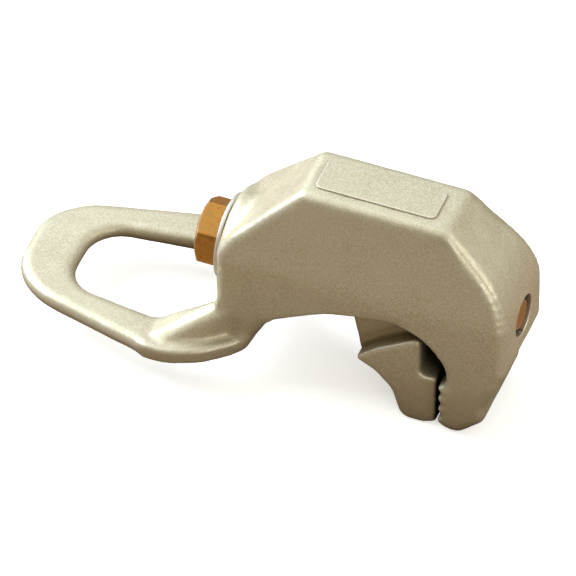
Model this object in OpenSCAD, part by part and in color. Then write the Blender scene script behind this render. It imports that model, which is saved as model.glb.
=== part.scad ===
// Screw-driven flange clamp with a pull eye cast in one with its body.
// Millimetres, +Z up. The origin is the centre of the bite, on the tooth tips of the fixed jaw.
// +X runs along the screw towards the nose. Inside the modules, X is measured from the seat of
// the hex head and Z from the screw axis, and at_bite() moves each part to the origin.

/* [Body] */
// Width across the flat sides of the body
body_w = 43; // [42:0.5:48]
// Width across the top of the body
top_w = 27; // [20:0.5:32]
// Height of the top above the screw axis
top_z = 45; // [42:0.1:48]
// Height above the axis at which the sides start to lean in
lean_z = 7.3; // [2:0.1:12]
// End of the nose, from the seat of the hex head
nose_x = 118.4; // [118.4:0.1:122]
// Face of the tapped boss, from the seat of the hex head
boss_x = 2.2; // [2.2:0.1:2.6]
// Diameter of the boss at its face
boss_d = 41; // [36:0.5:43]
// Height of the raised blank pad on the top
pad_h = 0.7; // [0.5:0.1:2]
// Radius of the cast vertical corners at the nose
nose_r = 2.5; // [2:0.5:7]

/* [Pull eye] */
// Thickness of the eye plate
eye_t = 7.4; // [6:0.1:9]
// Top of the eye plate below the screw axis
eye_drop = 30.6; // [29:0.1:32]
// Reach of the eye plate from the seat of the hex head
eye_reach = 82; // [80:0.5:90]
// Widest half width of the eye plate, before its corner is rounded
eye_half_w = 40.1; // [39:0.1:42]

/* [Jaws] */
// Tooth tips of the fixed jaw, from the seat of the hex head
bite_x = 92; // [91.5:0.1:93]
// Gap between the jaws as drawn
bite_gap = 1.5; // [1.5:0.1:2]
// Depth of the teeth
tooth_depth = 1.6; // [0.8:0.1:2]
// Distance from tooth to tooth
tooth_pitch = 5.5; // [5:0.1:6]
// Width of the moving jaw's head
jaw_w = 40; // [36:0.5:41]
// Width of its grip pad at the front
grip_w = 36; // [34:0.1:39]
// Width of the shank that slides in the body
shank_w = 24; // [22.5:0.5:26]
// Side play of the shank in its slot
slide_play = 0.25; // [0.1:0.05:0.5]

/* [Screw] */
// Outside diameter of the thread
thread_d = 15.875; // [15:0.1:16.5]
// Diameter of the turned-down front end
pilot_d = 13.2; // [12.5:0.1:13.5]
// Where the thread ends and the front end begins
shoulder_x = 52; // [49:0.5:52]
// Tip of the screw
tip_x = 117.3; // [112:0.1:117.3]
// Width across the flats of the hex head
hex_af = 23.8; // [22:0.1:25.4]
// Height of the hex head
hex_h = 9.9; // [8:0.1:11]
// Turn of the hex head about the screw axis as drawn, in degrees
hex_turn = 56; // [0:1:60]
// Diameter of the hole for the tip in the nose
nose_bore_d = 16.8; // [16.4:0.1:18]
// Radial clearance of every running fit
run_fit = 0.05; // [0.02:0.01:0.1]

/* [Washers and collar] */
// Diameter of the washer under the head
head_washer_d = 33.3; // [28:0.1:34]
// Thickness of the washer under the head
head_washer_t = 1.6; // [1:0.1:1.6]
// Diameter of the two thrust washers
thrust_d = 20; // [18:0.5:22]
// Diameter of the retaining collar
collar_d = 22; // [20:0.5:22.5]
// Length of the retaining collar
collar_l = 7; // [6:0.5:7.5]
// Diameter of the spring pin
pin_d = 4.8; // [4:0.1:5]

/* [Hidden] */

$fn = 64;
arc_step = 6;       // largest turn between two points of a rounded corner, in degrees
bite_z = -36.4;     // middle height of the teeth
jaw_bottom = -50.6; // lowest point of both jaws
arch_top = -1.8;    // highest point of the throat under the body
arch_r = 22;        // radius of the throat beside the fixed jaw
arch_back_x = 94.8; // where the throat ends behind the teeth
back_x = 110.4;     // back of the fixed jaw
wall_x = 2.5;       // back wall of the body, behind the boss face
eye_bottom = -eye_drop - eye_t;
slot_x0 = 19;       // the slot for the shank runs from the tapped wall to the nose
slot_x1 = 94.1;
slot_top = 16;
shank_x0 = shoulder_x + 2;
shank_x1 = shank_x0 + 30;
shank_top = 12;
thrust_t = 2 - 2 * run_fit;
collar_x = shank_x1 + 2;
grip_x = bite_x - bite_gap;
pin_fit = 0.02;     // radial gap drawn around the spring pin and inside the collar
far = 200;          // longer than any part, for cuts that run right through

// ---- Outlines: corners are [x, y, radius] ----

function unit(v) = v / norm(v);
function place(c) = [c[0], c[1]];
function turned(v, angle) = [
    v[0] * cos(angle) - v[1] * sin(angle),
    v[0] * sin(angle) + v[1] * cos(angle)
];

// Points of the arc that rounds corner c, between its neighbours before and after
function fillet(before, c, after) =
    let (
        p = unit(place(before) - place(c)),
        q = unit(place(after) - place(c)),
        half = acos(p * q) / 2,
        centre = place(c) + unit(p + q) * c[2] / sin(half),
        start = place(c) + p * c[2] / tan(half) - centre,
        sweep = -sign(cross(p, q)) * (180 - 2 * half),
        steps = ceil(abs(sweep) / arc_step)
    )
    [for (k = [0 : steps]) centre + turned(start, sweep * k / steps)];

// Outline of a closed loop of corners
function rounded(corners) =
    let (n = len(corners))
    [
        for (i = [0 : n - 1])
        each corners[i][2] == 0
            ? [place(corners[i])]
            : fillet(corners[(i + n - 1) % n], corners[i], corners[(i + 1) % n])
    ];

function mirrored(corners) = [
    for (i = [len(corners) - 1 : -1 : 0]) [corners[i][0], -corners[i][1], corners[i][2]]
];

// ---- Placing ----

module at_bite() {
    translate([-bite_x, 0, -bite_z]) children();
}

// Turns a shape drawn along +Z so that it runs along +X from x
module along_x(x) {
    translate([x, 0, 0]) rotate([0, 90, 0]) children();
}

// A side view in X and Z, given its width across Y
module side_view(corners, width) {
    rotate([90, 0, 0])
        linear_extrude(height = width, center = true)
            polygon(rounded(corners));
}

// A box in plan whose corners at the +X end are rounded
module plan_view(x0, x1, width, radius) {
    translate([0, 0, -far / 2])
        linear_extrude(height = far)
            polygon(rounded([
                [x0, -width / 2, 0],
                [x1, -width / 2, radius],
                [x1, width / 2, radius],
                [x0, width / 2, 0]
            ]));
}

module ring_x(x, outer_d, inner_d, length) {
    along_x(x)
        difference() {
            cylinder(d = outer_d, h = length);
            translate([0, 0, -1]) cylinder(d = inner_d, h = length + 2);
        }
}

// ---- Body ----

// Side view of the body: back slope, flat top, front slope, nose, fixed jaw and throat
body_side = [
    [wall_x, eye_bottom, 0],
    [wall_x, 13, 24],
    [33.6, top_z, 4],
    [92, top_z, 4],
    [nose_x, 17.6, 36],
    [nose_x, -14.6, 3],
    [back_x, -33.8, 8],
    [back_x, -41.6, 2.5],
    [101, jaw_bottom, 5],
    [bite_x + 3.4, jaw_bottom, 3],
    [bite_x, -46.8, 1],
    [bite_x, -27.9, 0.4],
    [arch_back_x, -28.3, 0.6],
    [arch_back_x, arch_top, arch_r],
    [66, arch_top, 60],
    [46, -6, 50],
    [24.5, -17.6, 12],
    [14, eye_bottom, 0]
];

// The body seen along the screw: upright sides that lean in towards the top
module body_section() {
    half = body_w / 2;
    rotate([90, 0, 90])
        linear_extrude(height = far)
            polygon(rounded([
                [-half, jaw_bottom - 1, 2],
                [half, jaw_bottom - 1, 2],
                [half, lean_z, 30],
                [top_w / 2, top_z, 2.5],
                [-top_w / 2, top_z, 2.5],
                [-half, lean_z, 30]
            ]));
}

// Boss that carries the tapped hole and runs out into the back slope
module boss() {
    length = 18;
    along_x(boss_x) cylinder(d1 = boss_d, d2 = boss_d + 4, h = length);
}

module top_pad() {
    x0 = 37.2;
    x1 = 85.2;
    half = 7.8;
    translate([0, 0, top_z - 1])
        linear_extrude(height = 1 + pad_h)
            polygon(rounded([
                [x0, -half, 2.5], [x1, -half, 2.5], [x1, half, 2.5], [x0, half, 2.5]
            ]));
}

// One side of the eye plate's outside and of its eye, from the far end to the body
eye_outside = [
    [-eye_reach, 16, 22],
    [-66.5, 27.1, 30],
    [-14, eye_half_w, 25],
    [2.4, 33.2, 30],
    [15, 21.9, 0]
];
eye_inside = [
    [-60.3, 16.6, 14],
    [-18, 21.8, 16],
    [wall_x, 16.8, 4]
];

module eye_plate() {
    translate([0, 0, eye_bottom])
        linear_extrude(height = eye_t)
            difference() {
                polygon(rounded(concat(eye_outside, mirrored(eye_outside))));
                polygon(rounded(concat(eye_inside, mirrored(eye_inside))));
            }
}

// Web that rises from one branch of the eye to the body's back wall
module gusset() {
    foot = [
        [-19.4, 21], [-19.4, 32.9], [-14.5, 34.4], [-9.8, 33.3], [-0.7, 28.7], [8.6, 21.5],
        [8.6, 17], [wall_x, 17]
    ];
    head = [[wall_x - 0.5, 17], [4, 21.4], [8.6, 21.4], [8.6, 17]];
    skin = 0.1;
    hull() {
        translate([0, 0, -eye_drop - skin]) linear_extrude(height = skin) polygon(foot);
        translate([0, 0, -17.8]) linear_extrude(height = skin) polygon(head);
    }
}

// Slot that guides the shank, open towards the throat
module shank_slot() {
    width = shank_w + 2 * slide_play;
    translate([slot_x0, -width / 2, -30])
        cube([slot_x1 - slot_x0, width, 30 + slot_top]);
}

// Gaps of a saw tooth: a long face down from each tip and a short one up from the next
module tooth_gaps() {
    land = 0.4;
    short_face = 1.3;
    for (k = [1 : 3])
        translate([bite_x, 0, bite_z + tooth_pitch * (1.4 - k)])
            rotate([90, 0, 0])
                linear_extrude(height = body_w + 2, center = true)
                    polygon([
                        [-1, tooth_pitch - land],
                        [0, tooth_pitch - land],
                        [tooth_depth, short_face],
                        [0, land],
                        [-1, land]
                    ]);
}

module clamp_body() {
    color("gainsboro")
        at_bite()
            difference() {
                union() {
                    intersection() {
                        union() {
                            side_view(body_side, body_w);
                            boss();
                        }
                        body_section();
                        plan_view(0, nose_x, body_w, nose_r);
                    }
                    top_pad();
                    eye_plate();
                    gusset();
                    mirror([0, 1, 0]) gusset();
                }
                shank_slot();
                tooth_gaps();
                along_x(0) cylinder(d = thread_d + 2 * run_fit, h = slot_x0 + 1);
                along_x(slot_x1 - 1) cylinder(d = nose_bore_d, h = nose_x);
            }
}

// ---- Moving jaw ----

// Side view of the jaw's head, without its grip pad
head_side = [
    [58, -25.9, 1.2],
    [66.4, -30.3, 8],
    [73, -37.2, 10],
    [77, jaw_bottom, 5],
    [88, jaw_bottom, 2],
    [grip_x - 6, -25.9, 0],
    [grip_x - 6, -8, 1.5],
    [80.5, -9.6, 15],
    [66.5, -18.4, 30]
];
grip_side = [
    [80, jaw_bottom, 0],
    [grip_x, jaw_bottom, 1.2],
    [grip_x, -27.7, 1],
    [grip_x - 6, -25.2, 0],
    [80, -25.2, 0]
];
// Upright back for the thrust washer, then a slope down to the head
shank_side = [
    [shank_x0, shank_top, 2],
    [shank_x0, -10.2, 2],
    [57.9, -29.4, 0],
    [shank_x1, -29.4, 0],
    [shank_x1, shank_top, 2]
];

// The grip pad in plan, tapered towards its face
module grip_plan() {
    translate([0, 0, -far / 2])
        linear_extrude(height = far)
            polygon(rounded([
                [80, -jaw_w / 2, 0],
                [grip_x - 4.6, -jaw_w / 2, 0],
                [grip_x, -grip_w / 2, 1.5],
                [grip_x, grip_w / 2, 1.5],
                [grip_x - 4.6, jaw_w / 2, 0],
                [80, jaw_w / 2, 0]
            ]));
}

module moving_jaw() {
    color("lightgray")
        at_bite()
            difference() {
                union() {
                    intersection() {
                        side_view(head_side, jaw_w);
                        plan_view(0, grip_x - 6, jaw_w, 2);
                    }
                    intersection() {
                        side_view(grip_side, jaw_w);
                        grip_plan();
                    }
                    side_view(shank_side, shank_w);
                }
                along_x(0) cylinder(d = pilot_d + 2 * run_fit, h = far);
                along_x(shank_x1) cylinder(d = collar_d + 1, h = far);
            }
}

// ---- Screw and what rides on it ----

// Spring pin's hole, across the collar and the front end of the screw
module pin_hole() {
    translate([collar_x + collar_l / 2, 0, 0])
        cylinder(d = pin_d + 2 * pin_fit, h = 2 * collar_d, center = true);
}

module clamp_screw() {
    corner_d = hex_af / cos(30);
    hex_chamfer = 1.4;
    color("goldenrod")
        at_bite()
            difference() {
                union() {
                    intersection() {
                        along_x(-hex_h) rotate([0, 0, hex_turn]) cylinder(d = corner_d, h = hex_h, $fn = 6);
                        along_x(-hex_h)
                            cylinder(
                                d1 = hex_af - 1,
                                d2 = hex_af - 1 + 2 * hex_h / tan(30),
                                h = hex_h
                            );
                    }
                    along_x(-1) cylinder(d = thread_d, h = shoulder_x + 1);
                    along_x(0) cylinder(d = pilot_d, h = tip_x - hex_chamfer);
                    along_x(tip_x - hex_chamfer)
                        cylinder(d1 = pilot_d, d2 = pilot_d - 1.6, h = hex_chamfer);
                }
                pin_hole();
            }
}

module head_washer() {
    color("silver")
        at_bite() ring_x(0, head_washer_d, thread_d + 2 * run_fit, head_washer_t);
}

module front_thrust_washer() {
    color("silver")
        at_bite() ring_x(shoulder_x + run_fit, thrust_d, pilot_d + 2 * run_fit, thrust_t);
}

module rear_thrust_washer() {
    color("silver")
        at_bite() ring_x(shank_x1 + run_fit, thrust_d, pilot_d + 2 * run_fit, thrust_t);
}

module retaining_collar() {
    color("dimgray")
        at_bite()
            difference() {
                ring_x(collar_x, collar_d, pilot_d + 2 * pin_fit, collar_l);
                pin_hole();
            }
}

module collar_pin() {
    pin_l = collar_d - 2;
    color("darkgray")
        at_bite()
            translate([collar_x + collar_l / 2, 0, 0])
                difference() {
                    cylinder(d = pin_d, h = pin_l, center = true);
                    cylinder(d = pin_d / 2, h = pin_l + 2, center = true);
                }
}

clamp_body();
moving_jaw();
clamp_screw();
head_washer();
front_thrust_washer();
rear_thrust_washer();
retaining_collar();
collar_pin();
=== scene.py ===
import math

import bmesh
import bpy
import numpy as np
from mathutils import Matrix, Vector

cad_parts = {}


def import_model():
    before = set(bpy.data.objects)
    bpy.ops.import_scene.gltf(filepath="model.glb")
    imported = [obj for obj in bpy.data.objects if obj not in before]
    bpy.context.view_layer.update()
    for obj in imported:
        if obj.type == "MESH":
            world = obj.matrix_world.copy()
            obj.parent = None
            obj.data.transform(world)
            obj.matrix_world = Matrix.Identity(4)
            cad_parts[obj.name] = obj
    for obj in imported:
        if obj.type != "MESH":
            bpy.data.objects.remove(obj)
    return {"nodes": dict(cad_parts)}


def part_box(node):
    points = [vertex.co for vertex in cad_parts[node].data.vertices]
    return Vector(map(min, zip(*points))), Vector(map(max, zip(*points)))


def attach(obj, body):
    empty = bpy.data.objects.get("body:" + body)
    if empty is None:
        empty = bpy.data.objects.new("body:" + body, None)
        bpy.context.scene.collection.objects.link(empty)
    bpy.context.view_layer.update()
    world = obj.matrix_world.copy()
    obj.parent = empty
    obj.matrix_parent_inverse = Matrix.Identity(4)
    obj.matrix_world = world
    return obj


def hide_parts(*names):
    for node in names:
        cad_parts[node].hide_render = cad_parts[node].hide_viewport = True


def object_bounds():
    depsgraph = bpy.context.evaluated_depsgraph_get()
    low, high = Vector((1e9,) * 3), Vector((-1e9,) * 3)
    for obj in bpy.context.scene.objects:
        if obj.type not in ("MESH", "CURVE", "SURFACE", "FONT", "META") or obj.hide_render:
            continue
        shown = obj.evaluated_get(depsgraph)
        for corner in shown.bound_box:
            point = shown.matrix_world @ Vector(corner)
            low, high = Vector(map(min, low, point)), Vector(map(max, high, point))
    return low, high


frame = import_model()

import openvdb
from mathutils import Vector, noise

cad_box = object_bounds()

# ---- Sizes, in metres, from the frame and from the screw's standard ----

MM = 0.001
body_low, body_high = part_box("clamp_body")
screw_low, screw_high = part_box("clamp_screw")
head_washer_low, head_washer_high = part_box("head_washer")
front_low, front_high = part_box("front_thrust_washer")
rear_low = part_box("rear_thrust_washer")[0]
collar_low, collar_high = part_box("retaining_collar")
pin_low, pin_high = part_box("collar_pin")

axis_z = (head_washer_low.z + head_washer_high.z) / 2  # height of the screw's axis
seat_x = head_washer_low.x                             # seat of the hex head
tip_x = screw_high.x
nose_x = body_high.x
boss_x = seat_x + 2.2 * MM                             # face of the tapped boss
slot_x = seat_x + 19 * MM, seat_x + 94.1 * MM          # ends of the slot for the shank
pad_x = seat_x + 37.2 * MM, seat_x + 85.2 * MM         # ends of the raised pad on the top
pad_half_width = 7.8 * MM
pad_height = 0.7 * MM

thread_r = 15.875 / 2 * MM
thread_root_r = 6.7 * MM
thread_pitch = 25.4 / 11 * MM
pilot_r = 6.6 * MM
running_fit = 0.05 * MM
pin_fit = 0.02 * MM
shoulder_x = front_low.x - running_fit
hex_flats = 23.8 * MM
hex_side = math.radians(60)
hex_corner_angle = math.radians(26)  # from +Y towards +Z
nose_bore_r = 8.4 * MM
boss_bore_r = thread_r + running_fit
pin_r = 2.4 * MM
collar_r = (collar_high.z - collar_low.z) / 2

ring_segments = 96  # sides of a turned shape
pin_segments = 48
zone_margin = 4.0   # millimetres over which the radii of a casting's zone fade in
plug_overlap = 0.3 * MM


# ---- Level sets: castings are rounded as a whole, in millimetres ----

def triangles_of(obj):
    """Points in millimetres and triangles of an object's mesh."""
    mesh = obj.data
    mesh.calc_loop_triangles()
    points = np.empty(len(mesh.vertices) * 3, np.float32)
    mesh.vertices.foreach_get("co", points)
    triangles = np.empty(len(mesh.loop_triangles) * 3, np.int32)
    mesh.loop_triangles.foreach_get("vertices", triangles)
    return points.reshape(-1, 3) / MM, triangles.reshape(-1, 3).astype(np.uint32)


class Caster:
    """Rounds closed surfaces on a grid of voxels of one size."""

    def __init__(self, voxel):
        self.voxel = voxel

    def level_set(self, points, triangles, reach):
        """Signed distance to a closed surface, out to reach millimetres."""
        return openvdb.FloatGrid.createLevelSetFromPolygons(
            points.astype(np.float32),
            triangles=triangles,
            transform=openvdb.createLinearTransform(voxelSize=self.voxel),
            halfWidth=reach / self.voxel + 3,
        )

    def grown(self, points, triangles, offset):
        """The surface moved outwards by offset, or inwards if it is negative."""
        grid = self.level_set(points, triangles, abs(offset))
        points, quads = grid.convertToQuads(isovalue=offset)
        triangles = np.concatenate([quads[:, [0, 1, 2]], quads[:, [0, 2, 3]]])
        return points, triangles.astype(np.uint32)

    def softened(self, points, triangles, fillet, edge):
        """Inner corners filled to one radius, then outer edges rounded to another."""
        for offset in (fillet, -fillet, -edge, edge):
            if offset:
                points, triangles = self.grown(points, triangles, offset)
        return points, triangles

    def block(self, surface, low, shape):
        """A dense block of signed distances, from voxel low."""
        block = np.zeros(shape, np.float32)
        self.level_set(*surface, 3 * self.voxel).copyToArray(block, ijk=low)
        return block

    def smoothed(self, surface, low, shape):
        """A block without the small steps that repeated offsets leave on slanted edges."""
        block = self.block(surface, low, shape)
        for axis in (0, 1, 2, 0, 1, 2):
            block = (np.roll(block, 1, axis) + 2 * block + np.roll(block, -1, axis)) / 4
        return block

    def places(self, low, shape):
        """X, Y and Z of the voxels in a block, ready to broadcast."""
        return [
            (np.arange(shape[k]) + low[k]).reshape([-1 if k == j else 1 for j in range(3)]) * self.voxel
            for k in range(3)
        ]

    def mesh(self, name, block, low):
        grid = openvdb.FloatGrid()
        grid.background = 3 * self.voxel
        grid.transform = openvdb.createLinearTransform(voxelSize=self.voxel)
        grid.gridClass = openvdb.GridClass.LEVEL_SET
        grid.copyFromArray(block.astype(np.float32), ijk=low, tolerance=0)
        grid.signedFloodFill()
        points, quads = grid.convertToQuads(isovalue=0)
        return mesh_object(name, points * MM, quads[:, ::-1])


def box_distance(places, low, high):
    """Roughly signed distance to a box whose corners are in millimetres."""
    distance = None
    for place, a, b in zip(places, low, high):
        side = np.abs(place - (a + b) / 2) - (b - a) / 2
        distance = side if distance is None else np.maximum(distance, side)
    return distance


def casting(name, node, voxel, radii, plugs=(), zones=(), ceiling=None):
    """A node's own shape with the rounded corners of a casting.

    Radii are those of inner corners and of outer edges. Plugs fill holes that are machined later.
    A zone has radii of its own and a box: inside the box they count, and over the box's margin
    they turn into the others. What stands above the ceiling is cut off flat.
    """
    points, triangles = triangles_of(frame["nodes"][node])
    for filler in plugs:
        extra_points, extra_triangles = triangles_of(filler)
        triangles = np.concatenate([triangles, extra_triangles + len(points)])
        points = np.concatenate([points, extra_points])
        bpy.data.objects.remove(filler)
    caster = Caster(voxel)
    low = np.floor(points.min(0) / voxel).astype(int) - 6
    shape = tuple(np.ceil(points.max(0) / voxel).astype(int) + 7 - low)
    low = tuple(int(v) for v in low)
    places = caster.places(low, shape)
    block = caster.smoothed(caster.softened(points, triangles, *radii), low, shape)
    for zone_radii, box in zones:
        local = caster.block(caster.softened(points, triangles, *zone_radii), low, shape)
        share = np.clip(-box_distance(places, *box) / zone_margin, 0, 1)
        block = block + share * (local - block)
    if ceiling is not None:
        block = np.maximum(block, places[2] - ceiling)
    return caster.mesh(name, block, low)


# ---- Meshes ----

def mesh_object(name, points, faces):
    """A new mesh object from points in metres."""
    mesh = bpy.data.meshes.new(name)
    mesh.from_pydata([tuple(p) for p in points], [], [tuple(f) for f in faces])
    mesh.validate()
    obj = bpy.data.objects.new(name, mesh)
    bpy.context.scene.collection.objects.link(obj)
    return obj


def tidy_mesh(obj):
    """Merges points that coincide and turns every face outwards."""
    bm = bmesh.new()
    bm.from_mesh(obj.data)
    bmesh.ops.remove_doubles(bm, verts=bm.verts, dist=1e-6)
    bmesh.ops.dissolve_degenerate(bm, edges=bm.edges, dist=1e-6)
    bmesh.ops.recalc_face_normals(bm, faces=bm.faces)
    bm.to_mesh(obj.data)
    bm.free()


def smooth(obj, angle):
    """Smooth shading, apart from edges sharper than an angle in degrees."""
    obj.data.polygons.foreach_set("use_smooth", [True] * len(obj.data.polygons))
    obj.data.set_sharp_from_angle(angle=math.radians(angle))


def fitted(obj, angle, body, node):
    """Shades a finished piece and puts it in a node's place on a body."""
    smooth(obj, angle)
    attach(obj, body)
    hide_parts(node)
    return obj


def combine(obj, other, operation="DIFFERENCE"):
    """Takes the other shape out of an object, or joins it to the object."""
    modifier = obj.modifiers.new("combine", "BOOLEAN")
    modifier.operation = operation
    modifier.solver = "EXACT"
    modifier.object = other
    graph = bpy.context.evaluated_depsgraph_get()
    mesh = bpy.data.meshes.new_from_object(obj.evaluated_get(graph))
    obj.modifiers.clear()
    obj.data = mesh
    bpy.data.objects.remove(other)


def roughen(obj, height, size, seed):
    """Uneven cast surface: moves each point along its normal by smooth noise."""
    shift = Vector((seed, 2 * seed, 3 * seed))
    normals = [vertex.normal.copy() for vertex in obj.data.vertices]
    for vertex, normal in zip(obj.data.vertices, normals):
        vertex.co += normal * (height * noise.noise(vertex.co / size + shift))


def about_screw(along, radius, angle):
    """Point at an angle from +Y towards +Z round the screw's axis."""
    return along, radius * math.cos(angle), axis_z + radius * math.sin(angle)


def about_pin(along, radius, angle):
    """Point at an angle from +X towards +Y round the spring pin's axis."""
    pin_x = (pin_low.x + pin_high.x) / 2
    return pin_x + radius * math.cos(angle), radius * math.sin(angle), along


def revolved(name, rows, angles, place, ring=False, gap=False):
    """Joins rows of (along, radius) pairs, one for each angle, into a surface round an axis.

    A ring joins its last row to its first. A gap leaves the last angle apart from the first and
    closes both ends.
    """
    points = [
        place(along, radius, angle)
        for row in rows
        for (along, radius), angle in zip(row, angles)
    ]
    rows_n, angles_n = len(rows), len(angles)
    faces = []
    for i in range(rows_n if ring else rows_n - 1):
        j = (i + 1) % rows_n
        for k in range(angles_n - 1 if gap else angles_n):
            m = (k + 1) % angles_n
            faces.append((i * angles_n + k, i * angles_n + m, j * angles_n + m, j * angles_n + k))
    if gap:
        faces.append([i * angles_n for i in range(rows_n)])
        faces.append([i * angles_n + angles_n - 1 for i in range(rows_n)])
    obj = mesh_object(name, points, faces)
    tidy_mesh(obj)
    return obj


def full_turn(count):
    return [2 * math.pi * k / count for k in range(count)]


def plain_ring(name, x0, x1, inner_r, outer_r, bevel):
    """A ring about the screw's axis with bevelled edges."""
    outline = [
        (x0, inner_r + bevel / 2), (x0, outer_r - bevel), (x0 + 0.3 * bevel, outer_r - 0.3 * bevel),
        (x0 + bevel, outer_r), (x1 - bevel, outer_r), (x1 - 0.3 * bevel, outer_r - 0.3 * bevel),
        (x1, outer_r - bevel), (x1, inner_r + bevel / 2), (x1 - bevel / 2, inner_r),
        (x0 + bevel / 2, inner_r),
    ]
    angles = full_turn(ring_segments)
    rows = [[point] * len(angles) for point in outline]
    return revolved(name, rows, angles, about_screw, ring=True)


def plug(x0, x1, radius, flare=0.0, flare_x=0.0):
    """A closed cylinder on the screw's axis. A flare widens its end by that much, up to flare_x."""
    angles = full_turn(ring_segments)
    outline = [(x0, 0), (x0, radius), (x1, radius), (x1, 0)]
    if flare:
        side = 1 if flare_x > x0 else -1
        start, end = (x0, x1) if side > 0 else (x1, x0)
        outline = [
            (start, 0), (start, radius), (flare_x - side * flare, radius),
            (flare_x + side * flare, radius + 2 * flare), (end, radius + 2 * flare), (end, 0),
        ]
    return revolved("plug", [[point] * len(angles) for point in outline], angles, about_screw)


# ---- Castings ----

def top_pad(low, high, corner, bevel):
    """The raised blank pad on the body's top, with bevelled edges."""
    steps = 8
    outline = []
    for k, (sx, sy) in enumerate(((1, 1), (-1, 1), (-1, -1), (1, -1))):
        for step in range(steps + 1):
            angle = math.pi / 2 * (k + step / steps)
            outline.append((sx, sy, math.cos(angle), math.sin(angle)))
    middle, half = (low + high) / 2, (high - low) / 2
    layers = [(low.z, 0), (high.z - bevel, 0), (high.z - 0.3 * bevel, 0.3 * bevel), (high.z, bevel)]
    layers += [(high.z, 2 * bevel), (high.z, 3 * bevel)]
    points = [
        (
            middle.x + sx * (half.x - corner) + (corner - inset) * c,
            middle.y + sy * (half.y - corner) + (corner - inset) * s,
            z,
        )
        for z, inset in layers
        for sx, sy, c, s in outline
    ]
    n = len(outline)
    faces = [
        (i * n + k, i * n + (k + 1) % n, (i + 1) * n + (k + 1) % n, (i + 1) * n + k)
        for i in range(len(layers) - 1)
        for k in range(n)
    ]
    faces += [range(n), range((len(layers) - 1) * n, len(layers) * n)]
    obj = mesh_object("pad", points, faces)
    tidy_mesh(obj)
    return obj


def body_casting():
    """The body. Its teeth and pad stay sharp, and its bores and collar seat are cut afterwards."""
    plugs = [
        plug(slot_x[1] - 0.5 * MM, nose_x, nose_bore_r + plug_overlap),
        plug(boss_x, slot_x[0], boss_bore_r + plug_overlap),
    ]
    under = body_low.z / MM - 2
    nose = (3.0, 4.4), ((3, -50, 14), (45, 50, 90))
    gussets = (1.0, 1.1), ((-116, -50, under), (-78, 50, 25))
    throat = (0, 0.5), ((-72, -30, under), (4, 30, 38))
    zones = nose, gussets, throat
    ceiling = (body_high.z - pad_height) / MM
    obj = casting("body_casting", "clamp_body", 0.6, (3.0, 3.0), plugs, zones, ceiling)
    roughen(obj, 0.13 * MM, 9 * MM, 3)
    roughen(obj, 0.04 * MM, 2.4 * MM, 8)
    pad_low = Vector((pad_x[0], -pad_half_width, body_high.z - 3 * MM))
    pad_high = Vector((pad_x[1], pad_half_width, body_high.z))
    combine(obj, top_pad(pad_low, pad_high, 2.5 * MM, 0.35 * MM), "UNION")
    collar_seat_r = collar_r + 0.8 * MM
    combine(obj, plug(slot_x[1] - 10 * MM, slot_x[1], collar_seat_r))
    chamfer = 0.35 * MM
    combine(obj, plug(slot_x[1] - 6 * MM, nose_x + 4 * MM, nose_bore_r, chamfer, nose_x))
    combine(obj, plug(slot_x[0] + 5 * MM, boss_x - 4 * MM, boss_bore_r, chamfer, boss_x))
    return fitted(obj, 40, "body", "clamp_body")


def jaw_casting():
    """The moving jaw, with its bore and the faces for the thrust washers machined."""
    shank_x = front_high.x + running_fit, rear_low.x - running_fit
    pilot_bore_r = pilot_r + running_fit
    relief_r = collar_r + 0.5 * MM
    far = 40 * MM
    bore_plug = plug(shank_x[0], shank_x[1], pilot_bore_r + plug_overlap)
    obj = casting("jaw_casting", "moving_jaw", 0.42, (0.9, 0.9), [bore_plug])
    roughen(obj, 0.08 * MM, 6 * MM, 5)
    roughen(obj, 0.04 * MM, 2.0 * MM, 9)
    combine(obj, plug(shank_x[0] - far, shank_x[1] + far, pilot_bore_r))
    combine(obj, plug(shank_x[1], shank_x[1] + far, relief_r))
    combine(obj, plug(shank_x[0] - far, shank_x[0], relief_r))
    return fitted(obj, 40, "jaw", "moving_jaw")


# ---- Screw and what rides on it ----

def hex_radius(angle, flats):
    """Distance from the axis to the side of a hexagon whose corners are slightly rounded."""
    from_flat = (angle - hex_corner_angle) % hex_side - hex_side / 2
    corner_r = 0.565 * flats
    return min(flats / 2 / math.cos(from_flat), corner_r)


def thread_radius(x, turn):
    """Radius of the thread at a distance x along the axis and a share of a turn round it."""
    crest, flank = 1 / 8, 5 / 16
    phase = (x / thread_pitch - turn) % 1
    depth = min(max((min(phase, 1 + crest - phase) - crest) / flank, 0), 1)
    if phase <= crest:
        depth = 0
    return thread_r - depth * (thread_r - thread_root_r)


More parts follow.
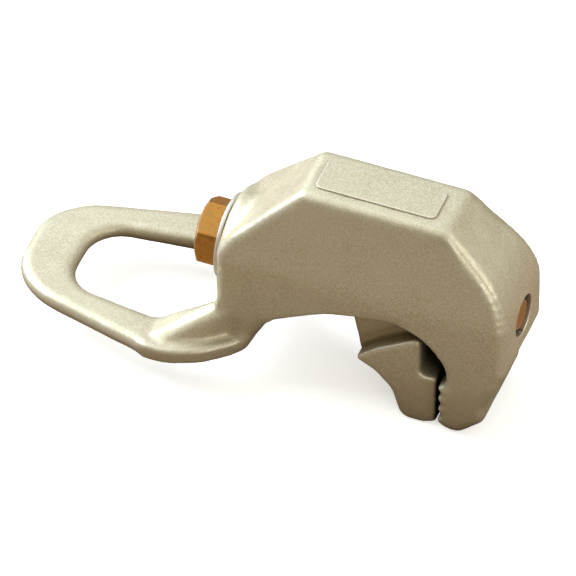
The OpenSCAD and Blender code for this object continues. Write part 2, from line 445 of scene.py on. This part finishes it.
def hex_screw():
    """One turned and threaded piece: hex head, thread, shoulder, pilot and chamfered tip."""
    steps = [0, 1.3, 2.6, 4.2] + [7.5 + 3.75 * k for k in range(13)] + [55.8, 57.4, 58.7]
    angles = [hex_corner_angle + hex_side * k + math.radians(step) for k in range(6) for step in steps]
    turns = [(angle - angles[0]) / (2 * math.pi) for angle in angles]
    head_x = screw_low.x
    face_r = hex_flats / 2 - 0.7 * MM
    washer_face = 0.35 * MM
    slope = math.tan(math.radians(30))

    def even(x, radius):
        return [(x, radius)] * len(angles)

    def hexagon(x, inset):
        return [(x, hex_radius(angle, hex_flats) - inset) for angle in angles]

    def chamfer(x):
        """Where a 30 degree cone that starts at x meets the hexagon's sides."""
        radii = [hex_radius(angle, hex_flats) for angle in angles]
        return [(x + (radius - face_r) * slope, radius) for radius in radii]

    bevel = 0.25 * MM
    face_edge_x = head_x + 0.08 * MM
    rows = [even(head_x, 0), even(head_x, face_r - bevel)]
    rows += [even(face_edge_x, face_r), chamfer(face_edge_x)]
    sides_x = head_x + 2.6 * MM, seat_x - washer_face - bevel
    rows += [hexagon(sides_x[0] + (sides_x[1] - sides_x[0]) * k / 5, 0) for k in range(6)]
    rows += [hexagon(seat_x - washer_face, bevel)]
    rows += [even(seat_x - washer_face, face_r), even(seat_x, face_r - bevel), even(seat_x, thread_r)]

    start, end = head_washer_high.x, shoulder_x
    end_r = 7.4 * MM
    phases = [0, 1 / 8, 0.28, 7 / 16, 11 / 16, 0.845]
    first, last = start - thread_pitch, end
    for whole in range(int((last - first) / thread_pitch) + 2):
        for phase in phases:
            row = []
            for turn in turns:
                x = first + (whole + phase + turn) * thread_pitch
                radius = thread_radius(x - first, turn)
                x = min(max(x, start), end)
                runout = thread_r - 0.5 * (x - start)
                row.append((x, min(max(radius, runout), end_r + end - x)))
            rows.append(row)

    tip_chamfer, tip_inset = 1.4 * MM, 0.8 * MM
    rows += [even(end, pilot_r), even(tip_x - tip_chamfer, pilot_r)]
    rows += [even(tip_x, pilot_r - tip_inset), even(tip_x, 0)]
    obj = revolved("hex_screw", rows, angles, about_screw)
    combine(obj, pin_cutter())
    return fitted(obj, 24, "screw", "clamp_screw")


def pin_cutter():
    """The cross hole for the spring pin."""
    radius = pin_r + pin_fit
    angles = full_turn(pin_segments)
    z0, z1 = axis_z - 30 * MM, axis_z + 30 * MM
    outline = [(z0, 0), (z0, radius), (z1, radius), (z1, 0)]
    return revolved("pin_cutter", [[point] * len(angles) for point in outline], angles, about_pin)


def washer(name, node, inner_r, body, bevel):
    low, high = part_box(node)
    obj = plain_ring(name, low.x, high.x, inner_r, (high.z - low.z) / 2, bevel)
    return fitted(obj, 30, body, node)


def collar():
    inner_r, bevel = pilot_r + pin_fit, 0.7 * MM
    obj = plain_ring("collar_ring", collar_low.x, collar_high.x, inner_r, collar_r, bevel)
    combine(obj, pin_cutter())
    return fitted(obj, 30, "screw", "retaining_collar")


def spring_pin():
    """A rolled pin, open along one side, with chamfered ends."""
    z0, z1 = pin_low.z, pin_high.z
    bevel, inner_r = 0.5 * MM, pin_r / 2
    outline = [
        (z0, inner_r), (z0, pin_r - bevel), (z0 + bevel, pin_r), (z1 - bevel, pin_r),
        (z1, pin_r - bevel), (z1, inner_r),
    ]
    opening = math.radians(24)
    step = (2 * math.pi - opening) / pin_segments
    angles = [opening / 2 + step * k for k in range(pin_segments + 1)]
    rows = [[point] * len(angles) for point in outline]
    obj = revolved("rolled_pin", rows, angles, about_pin, ring=True, gap=True)
    return fitted(obj, 30, "screw", "collar_pin")


# ---- Materials ----

class Paint:
    """A material whose nodes are built step by step."""

    def __init__(self, name, colour, metallic, roughness):
        self.material = bpy.data.materials.new(name)
        self.material.use_nodes = True
        self.tree = self.material.node_tree
        self.shader = self.tree.nodes["Principled BSDF"]
        self.shader.inputs["Metallic"].default_value = metallic
        self.shader.inputs["Roughness"].default_value = roughness
        self.material.diffuse_color = (*colour, 1)
        self.shader.inputs["Base Color"].default_value = (*colour, 1)
        self.place = self.tree.nodes.new("ShaderNodeTexCoord").outputs["Object"]
        self.bump_from = None

    def node(self, kind, inputs=(), **settings):
        node = self.tree.nodes.new("ShaderNode" + kind)
        for key, value in settings.items():
            setattr(node, key, value)
        for key, value in dict(inputs).items():
            if isinstance(value, bpy.types.NodeSocket):
                self.tree.links.new(value, node.inputs[key])
            else:
                node.inputs[key].default_value = value
        return node

    def stretched(self, scale):
        """Coordinates stretched by a different amount along each axis."""
        return self.node("Mapping", {"Vector": self.place, "Scale": scale}).outputs[0]

    def noise(self, size, detail=2.0, place=None):
        """Noise from 0 to 1 whose features are about one size in metres."""
        inputs = {"Vector": place or self.place, "Scale": 1 / size, "Detail": detail}
        return self.node("TexNoise", inputs).outputs["Fac"]

    def between(self, value, low, high, to_low=0.0, to_high=1.0):
        inputs = {"Value": value, "From Min": low, "From Max": high, "To Min": to_low, "To Max": to_high}
        return self.node("MapRange", inputs).outputs["Result"]

    def mix(self, factor, a, b, blend="MIX"):
        """Mix of two colours."""
        node = self.node("Mix", data_type="RGBA", blend_type=blend)
        for socket, value in zip((node.inputs[0], node.inputs[6], node.inputs[7]), (factor, a, b)):
            if isinstance(value, bpy.types.NodeSocket):
                self.tree.links.new(value, socket)
            else:
                socket.default_value = value if isinstance(value, float) else (*value, 1)
        return node.outputs[2]

    def set(self, name, socket):
        self.tree.links.new(socket, self.shader.inputs[name])

    def bump(self, height, distance, strength=1.0):
        """Adds a layer of relief, with a height in metres."""
        inputs = {"Height": height, "Distance": distance, "Strength": strength}
        if self.bump_from:
            inputs["Normal"] = self.bump_from
        self.bump_from = self.node("Bump", inputs).outputs[0]
        self.set("Normal", self.bump_from)


def cast_paint():
    """Satin champagne-silver paint over a fine cast grain, with a painted highlight on its edges and
    painted shade in its hollows and deep recesses.
    """
    paint = Paint("champagne_silver", (0.68, 0.65, 0.56), 0.45, 0.42)
    tone = paint.between(paint.noise(0.03, 3), 0.3, 0.7)
    colour = paint.mix(tone, (0.60, 0.55, 0.365), (0.69, 0.65, 0.465))
    flakes = paint.between(paint.noise(0.0007, 1), 0.35, 0.65)
    colour = paint.mix(flakes, colour, (0.78, 0.75, 0.595))
    # Painted highlight: sharp edges lightened to a pale colour, standing in for the light caught on
    # rounded edges.
    pointed = paint.node("NewGeometry").outputs["Pointiness"]
    edge = paint.between(pointed, 0.508, 0.54, 0.0, 0.6)
    colour = paint.mix(edge, colour, (0.92, 0.90, 0.82))
    # Painted shade: the paint is darkened where ambient occlusion is low, in corners, creases and
    # recesses.
    hollow = paint.node("AmbientOcclusion", {"Distance": 0.008}, samples=6).outputs["AO"]
    painted_hollow_shade = paint.between(hollow, 0.78, 0.22, 0.0, 0.6)
    colour = paint.mix(painted_hollow_shade, colour, (0.30, 0.25, 0.17))
    # Painted shade: wide ambient occlusion turns recessed paint brown, and the deepest recesses, such as
    # the throat between the jaws, near black.
    depth = paint.node("AmbientOcclusion", {"Distance": 0.05}, samples=8).outputs["AO"]
    colour = paint.mix(paint.between(depth, 0.92, 0.5, 0.0, 0.7), colour, (0.33, 0.27, 0.16))
    colour = paint.mix(paint.between(depth, 0.40, 0.14, 0.0, 0.94), colour, (0.02, 0.017, 0.013))
    paint.set("Base Color", colour)
    paint.set("Roughness", paint.between(paint.noise(0.006, 2), 0.2, 0.8, 0.36, 0.52))
    paint.bump(paint.noise(0.0035, 2), 0.0001, 0.4)
    paint.bump(paint.noise(0.0005, 2), 0.00003, 0.6)
    return paint.material


def yellow_zinc():
    """Golden zinc plating with an uneven tint and turned end faces, with painted light: lower facets
    deeper orange than upper ones, and a painted highlight on edges.
    """
    metal = Paint("yellow_zinc", (0.76, 0.36, 0.08), 0.8, 0.3)
    # Painted light: below the screw's axis the facets are coloured deeper orange and above it paler
    # gold, as the light falls on them.
    height = metal.node("SeparateXYZ", {0: metal.place}).outputs["Z"]
    facet = metal.between(height, axis_z - 0.0075, axis_z - 0.005)
    colour = metal.mix(facet, (1.0, 0.26, 0.016), (0.54, 0.31, 0.08))
    tone = metal.between(metal.noise(0.004, 3), 0.35, 0.65, 0.0, 0.35)
    colour = metal.mix(tone, colour, (0.82, 0.32, 0.04))
    patch = metal.between(metal.noise(0.0012, 3), 0.52, 0.68)
    colour = metal.mix(patch, colour, (0.58, 0.19, 0.025))
    # Painted highlight: where the bevelled normal turns away from the true one, on edges and corners,
    # the colour goes pale.
    geometry = metal.node("NewGeometry").outputs
    bevelled = metal.node("Bevel", {"Radius": 0.0009}, samples=6).outputs[0]
    inputs = {0: bevelled, 1: geometry["Normal"]}
    turn = metal.node("VectorMath", inputs, operation="DOT_PRODUCT").outputs["Value"]
    colour = metal.mix(metal.between(turn, 0.995, 0.93, 0.0, 0.75), colour, (0.90, 0.76, 0.55))
    metal.set("Base Color", colour)
    metal.set("Roughness", metal.between(metal.noise(0.0012, 2), 0.2, 0.8, 0.24, 0.42))
    metal.bump(metal.noise(1.0, 2, metal.stretched((300, 4000, 4000))), 0.00002, 0.5)
    return metal.material


def bright_zinc():
    metal = Paint("bright_zinc", (0.86, 0.85, 0.82), 0.6, 0.45)
    tone = metal.between(metal.noise(0.003, 2), 0.3, 0.7)
    metal.set("Base Color", metal.mix(tone, (0.82, 0.81, 0.78), (0.92, 0.91, 0.88)))
    metal.set("Roughness", metal.between(metal.noise(0.001, 2), 0.2, 0.8, 0.36, 0.52))
    metal.bump(metal.noise(0.0004, 2), 0.00001, 0.4)
    return metal.material


def black_oxide():
    metal = Paint("black_oxide", (0.06, 0.058, 0.055), 0.9, 0.42)
    tone = metal.between(metal.noise(0.002, 3), 0.3, 0.7)
    colour = metal.mix(tone, (0.045, 0.043, 0.042), (0.09, 0.085, 0.08))
    pointed = metal.node("NewGeometry").outputs["Pointiness"]
    metal.set("Base Color", metal.mix(metal.between(pointed, 0.52, 0.62), colour, (0.35, 0.34, 0.32)))
    metal.set("Roughness", metal.between(metal.noise(0.0008, 2), 0.2, 0.8, 0.34, 0.52))
    metal.bump(metal.noise(0.0005, 2), 0.00002, 0.4)
    return metal.material


# ---- The clamp ----

materials = {
    "casting": cast_paint(), "screw": yellow_zinc(), "washers": bright_zinc(), "collar": black_oxide()
}
pieces = {
    "casting": [body_casting(), jaw_casting()],
    "screw": [hex_screw()],
    "washers": [
        washer("head_washer_ring", "head_washer", thread_r + running_fit, "screw", 0.4 * MM),
        washer("front_washer_ring", "front_thrust_washer", pilot_r + running_fit, "jaw", 0.3 * MM),
        washer("rear_washer_ring", "rear_thrust_washer", pilot_r + running_fit, "jaw", 0.3 * MM),
    ],
    "collar": [collar(), spring_pin()],
}
for slot, objects in pieces.items():
    for obj in objects:
        obj.data.materials.clear()
        obj.data.materials.append(materials[slot])


# ---- Stage, light and camera ----

centre = (cad_box[0] + cad_box[1]) / 2


def floor():
    """Pale to the camera. A dim, warm card to the light, so that the sides stay modelled."""
    size = 3.0
    obj = mesh_object(
        "floor",
        [(x * size, y * size, cad_box[0].z) for x, y in ((-1, -1), (1, -1), (1, 1), (-1, 1))],
        [(0, 1, 2, 3)],
    )
    card = Paint("floor", (0.9, 0.9, 0.9), 0.0, 0.9)
    path = card.node("LightPath").outputs
    seen = path["Is Camera Ray"]
    bounce = card.mix(path["Is Glossy Ray"], (0.06, 0.046, 0.03), (0.30, 0.19, 0.11))
    card.set("Base Color", card.mix(seen, bounce, (0.95, 0.95, 0.94)))
    card.set("Emission Color", card.mix(seen, (0.0, 0.0, 0.0), (0.55, 0.55, 0.54)))
    card.shader.inputs["Emission Strength"].default_value = 1.0
    obj.data.materials.append(card.material)


def area_light(name, direction, distance, size, power, colour):
    lamp = bpy.data.lights.new(name, "AREA")
    lamp.size = size
    lamp.energy = power
    lamp.color = colour
    obj = bpy.data.objects.new(name, lamp)
    obj.location = centre + Vector(direction).normalized() * distance
    obj.rotation_mode = "QUATERNION"
    obj.rotation_quaternion = (obj.location - centre).to_track_quat("Z", "Y")
    bpy.context.scene.collection.objects.link(obj)


def world():
    """A pale dome that dims and warms towards the horizon, below it and towards the front."""
    dome = bpy.data.worlds.new("studio")
    bpy.context.scene.world = dome
    dome.use_nodes = True
    nodes, links = dome.node_tree.nodes, dome.node_tree.links

    def mixed(factor, a, b, blend="MIX"):
        """Mix of two colours, each a socket or a value."""
        mix = nodes.new("ShaderNodeMix")
        mix.data_type, mix.blend_type = "RGBA", blend
        for socket, value in zip((mix.inputs[0], mix.inputs[6], mix.inputs[7]), (factor, a, b)):
            if isinstance(value, bpy.types.NodeSocket):
                links.new(value, socket)
            else:
                socket.default_value = value
        return mix.outputs[2]

    place = nodes.new("ShaderNodeTexCoord")
    parts = nodes.new("ShaderNodeSeparateXYZ")
    links.new(place.outputs["Generated"], parts.inputs[0])
    ramp = nodes.new("ShaderNodeValToRGB")
    links.new(parts.outputs["Z"], ramp.inputs["Fac"])
    stops = ramp.color_ramp.elements
    stops[0].position, stops[0].color = 0.0, (0.08, 0.058, 0.03, 1)
    stops[1].position, stops[1].color = 0.75, (0.90, 0.92, 0.94, 1)
    stops.new(0.35).color = (0.22, 0.17, 0.095, 1)
    front = nodes.new("ShaderNodeMapRange")
    front.inputs["From Min"].default_value, front.inputs["From Max"].default_value = -0.8, 0.1
    links.new(parts.outputs["Y"], front.inputs["Value"])
    tint = mixed(front.outputs["Result"], (0.72, 0.58, 0.32, 1), (1, 1, 1, 1))
    shaded = mixed(1.0, ramp.outputs["Color"], tint, "MULTIPLY")
    seen = nodes.new("ShaderNodeLightPath").outputs["Is Camera Ray"]
    colour = mixed(seen, shaded, (0.96, 0.96, 0.95, 1))
    links.new(colour, nodes["Background"].inputs["Color"])
    nodes["Background"].inputs["Strength"].default_value = 0.9


def camera():
    azimuth, elevation = math.radians(21.4), math.radians(45)
    aim = centre + Vector((5.58, 0, -17.57)) * MM
    lens, sensor = 600, 36
    seen_width = 0.2174
    back = Vector((
        math.sin(azimuth) * math.cos(elevation),
        -math.cos(azimuth) * math.cos(elevation),
        math.sin(elevation),
    ))
    cam = bpy.data.cameras.new("camera")
    cam.lens, cam.sensor_width = lens, sensor
    cam.clip_start, cam.clip_end = 0.5, 50
    obj = bpy.data.objects.new("camera", cam)
    obj.location = aim + back * (seen_width * lens / sensor)
    obj.rotation_mode = "QUATERNION"
    obj.rotation_quaternion = back.to_track_quat("Z", "Y")
    bpy.context.scene.collection.objects.link(obj)
    bpy.context.scene.camera = obj


floor()
area_light("key", (-0.84, 0.12, 0.53), 1.2, 0.9, 20, (0.85, 0.92, 1))
area_light("fill", (0.88, 0.20, 0.40), 1.2, 0.6, 3.0, (1, 0.97, 0.90))
area_light("edge", (0.72, -0.62, 0.30), 1.2, 0.45, 3.0, (1, 0.98, 0.93))
world()
camera()
bpy.context.scene.view_settings.view_transform = "Standard"
